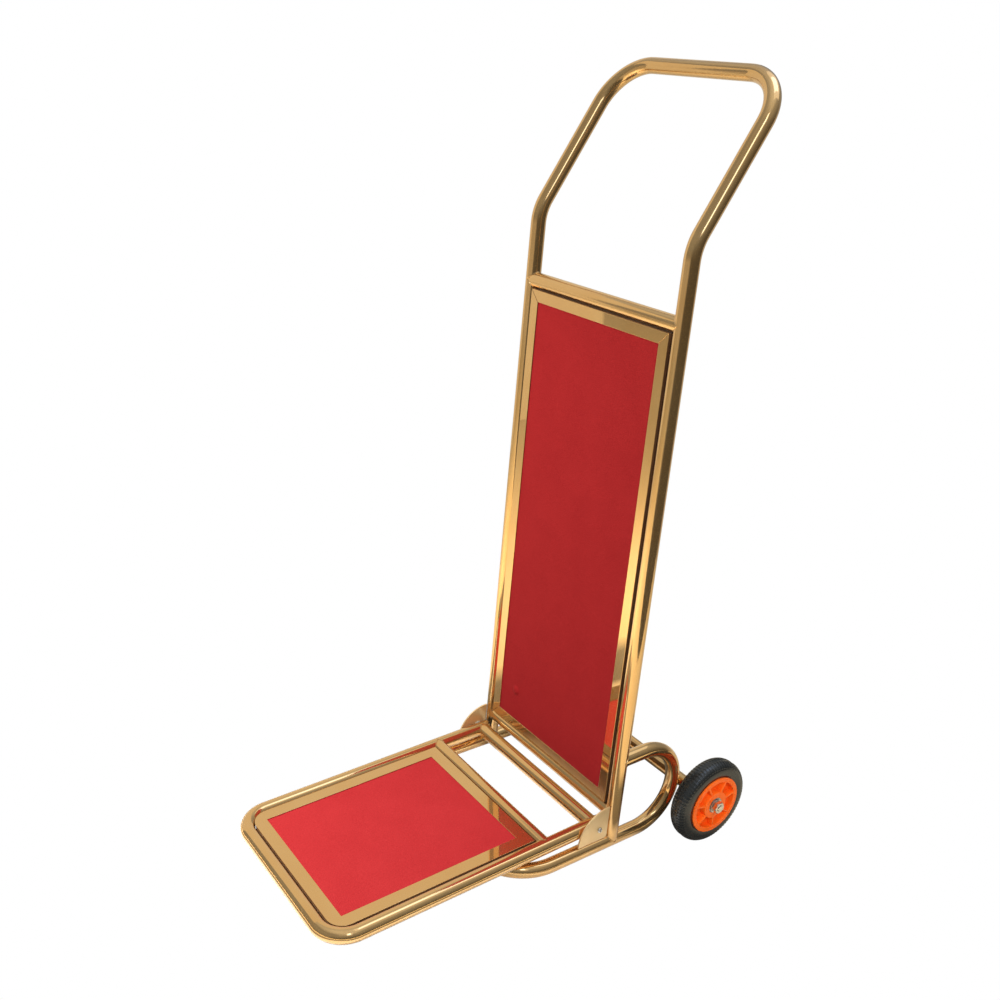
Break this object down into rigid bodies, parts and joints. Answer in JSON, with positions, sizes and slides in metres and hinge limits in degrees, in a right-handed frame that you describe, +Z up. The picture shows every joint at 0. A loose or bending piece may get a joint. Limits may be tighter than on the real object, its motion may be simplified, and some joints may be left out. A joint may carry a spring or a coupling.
{
  "type": "folding platform cart",
  "caption": "Hand trolley in bent gold tube with a carpeted back panel, a carpeted platform that folds up against it, and a pair of rear wheels.",
  "frame": {"origin": "on the floor, midway between the feet of the two uprights", "axes": "+Z up, +X across the cart to the right of someone who faces the platform's front, -Y forwards over the platform, +Y towards the wheels"},
  "size_m": [0.5512, 0.7695, 1.2528],
  "materials": {
    "polished_gold": "mirror-polished gold plating on steel tube and sheet",
    "satin_gold": "satin gold plating on steel plate",
    "red_carpet": "short-pile needle-felt carpet, bright red",
    "deep_red_carpet": "short-pile needle-felt carpet, red",
    "plywood": "dark film-faced plywood",
    "tyre_rubber": "solid black rubber, low tread",
    "bumper_rubber": "moulded black rubber",
    "black_plastic": "moulded black plastic",
    "orange_plastic": "moulded orange plastic",
    "nickel_steel": "nickel-plated steel",
    "zinc_steel": "zinc-plated steel",
    "nylon": "natural nylon"
  },
  "bodies": {
    "frame": {"handle_frame_tube": "polished_gold", "back_top_crossbar": "polished_gold", "back_bottom_crossbar": "polished_gold", "base_tube": "polished_gold", "axle_tube": "polished_gold", "gusset_plate_left": "satin_gold", "gusset_plate_right": "satin_gold", "back_board": "plywood", "back_carpet": "deep_red_carpet", "back_tab_left_lower": "satin_gold", "back_screw_left_lower": "zinc_steel", "back_tab_left_upper": "satin_gold", "back_screw_left_upper": "zinc_steel", "back_tab_right_lower": "satin_gold", "back_screw_right_lower": "zinc_steel", "back_tab_right_upper": "satin_gold", "back_screw_right_upper": "zinc_steel", "back_trim_bottom": "polished_gold", "back_trim_right": "polished_gold", "back_trim_top": "polished_gold", "back_trim_left": "polished_gold", "axle_rod": "nickel_steel", "axle_bush_left": "nylon", "axle_washer_left": "nickel_steel", "axle_nut_left": "nickel_steel", "axle_bush_right": "nylon", "axle_washer_right": "nickel_steel", "axle_nut_right": "nickel_steel"},
    "platform": {"platform_tube": "polished_gold", "platform_middle_crossbar": "polished_gold", "platform_hinge_crossbar": "polished_gold", "rail_cap_left": "black_plastic", "rail_cap_right": "black_plastic", "pivot_bolt_left": "nickel_steel", "pivot_washer_left": "nylon", "pivot_sleeve_left": "zinc_steel", "pivot_bolt_right": "nickel_steel", "pivot_washer_right": "nylon", "pivot_sleeve_right": "zinc_steel", "platform_board": "plywood", "platform_carpet": "red_carpet", "platform_trim": "polished_gold", "platform_bumper_left": "bumper_rubber", "platform_bumper_right": "bumper_rubber", "platform_tab_left_front": "satin_gold", "platform_screw_left_front": "zinc_steel", "platform_tab_left_rear": "satin_gold", "platform_screw_left_rear": "zinc_steel", "platform_tab_right_front": "satin_gold", "platform_screw_right_front": "zinc_steel", "platform_tab_right_rear": "satin_gold", "platform_screw_right_rear": "zinc_steel"},
    "wheel_left": {"tyre_left": "tyre_rubber", "wheel_hub_left": "orange_plastic", "wheel_bearing_inner_left": "zinc_steel", "wheel_bearing_outer_left": "zinc_steel"},
    "wheel_right": {"tyre_right": "tyre_rubber", "wheel_hub_right": "orange_plastic", "wheel_bearing_inner_right": "zinc_steel", "wheel_bearing_outer_right": "zinc_steel"}
  },
  "joints": [
    {"name": "platform_fold", "type": "hinge", "parent": "frame", "child": "platform", "pos_m": [0, -0.031, 0.047], "axis": [-1, 0, 0], "range_deg": [0, 94]},
    {"name": "wheel_spin_left", "type": "hinge", "parent": "frame", "child": "wheel_left", "pos_m": [-0.2435, 0.15719, 0.076], "axis": [1, 0, 0], "continuous": true},
    {"name": "wheel_spin_right", "type": "hinge", "parent": "frame", "child": "wheel_right", "pos_m": [0.2435, 0.15719, 0.076], "axis": [1, 0, 0], "continuous": true}
  ]
}
